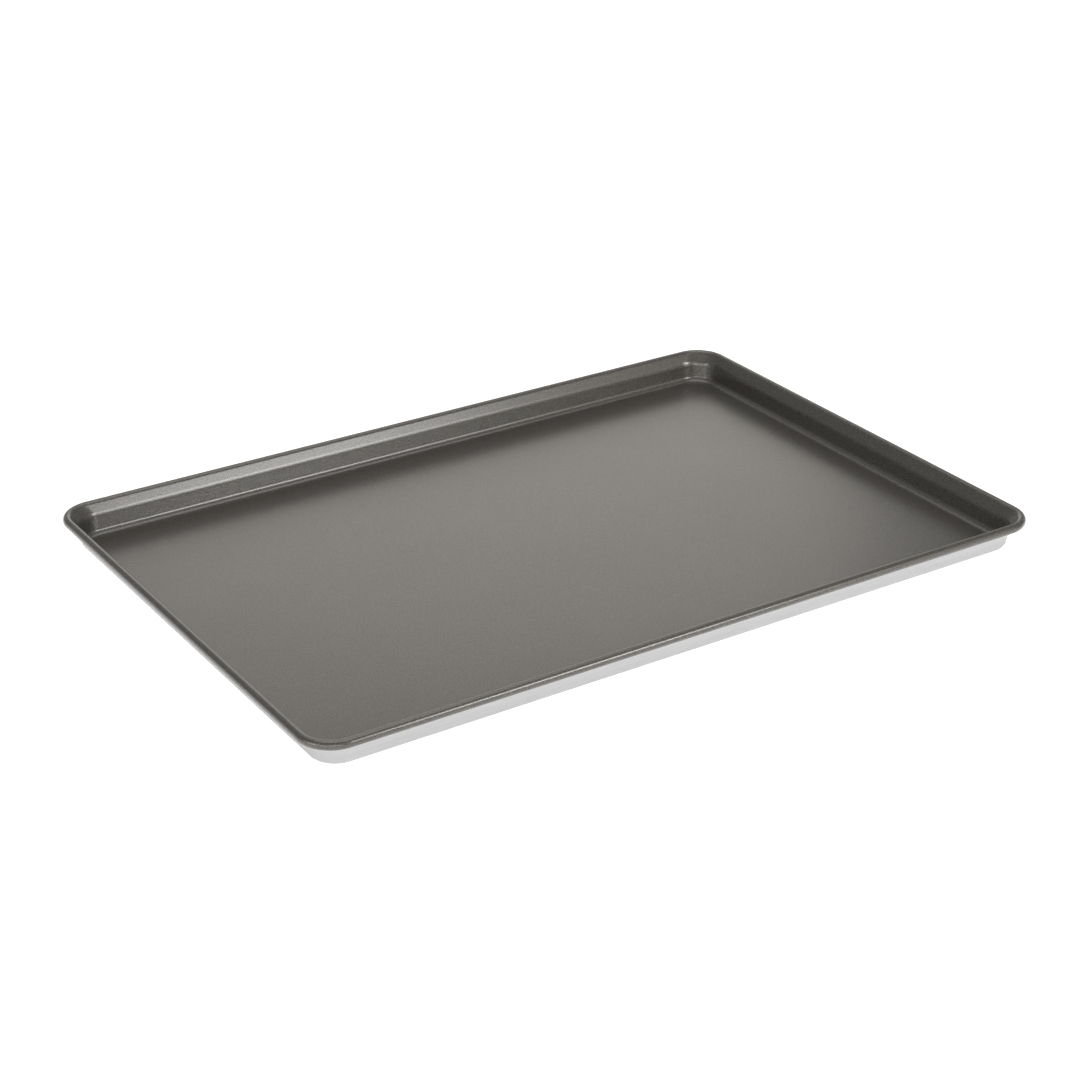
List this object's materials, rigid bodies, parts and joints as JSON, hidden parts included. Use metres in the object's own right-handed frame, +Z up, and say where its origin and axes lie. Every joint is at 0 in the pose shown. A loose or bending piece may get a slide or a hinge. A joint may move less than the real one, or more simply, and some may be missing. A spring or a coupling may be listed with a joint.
{
  "type": "sheet pan",
  "caption": "Shallow rectangular sheet pan: pressed aluminium with flared walls, rounded corners, a rolled wire-stiffened rim and a dark non-stick top face.",
  "frame": {"origin": "middle of the underside of the floor, on the surface the pan stands on", "axes": "+X along the long sides, +Y along the short sides, +Z up"},
  "size_m": [0.6604, 0.4572, 0.0274],
  "materials": {
    "bare_aluminium": "bare pressed sheet, satin, seen outside and underneath",
    "rim_wire": "plain zinc-coated wire",
    "nonstick_coating": "warm dark grey satin non-stick film with a fine speckle"
  },
  "bodies": {
    "root": {"pan_shell": "bare_aluminium", "rim_wire": "rim_wire", "nonstick_coating": "nonstick_coating"}
  },
  "joints": []
}
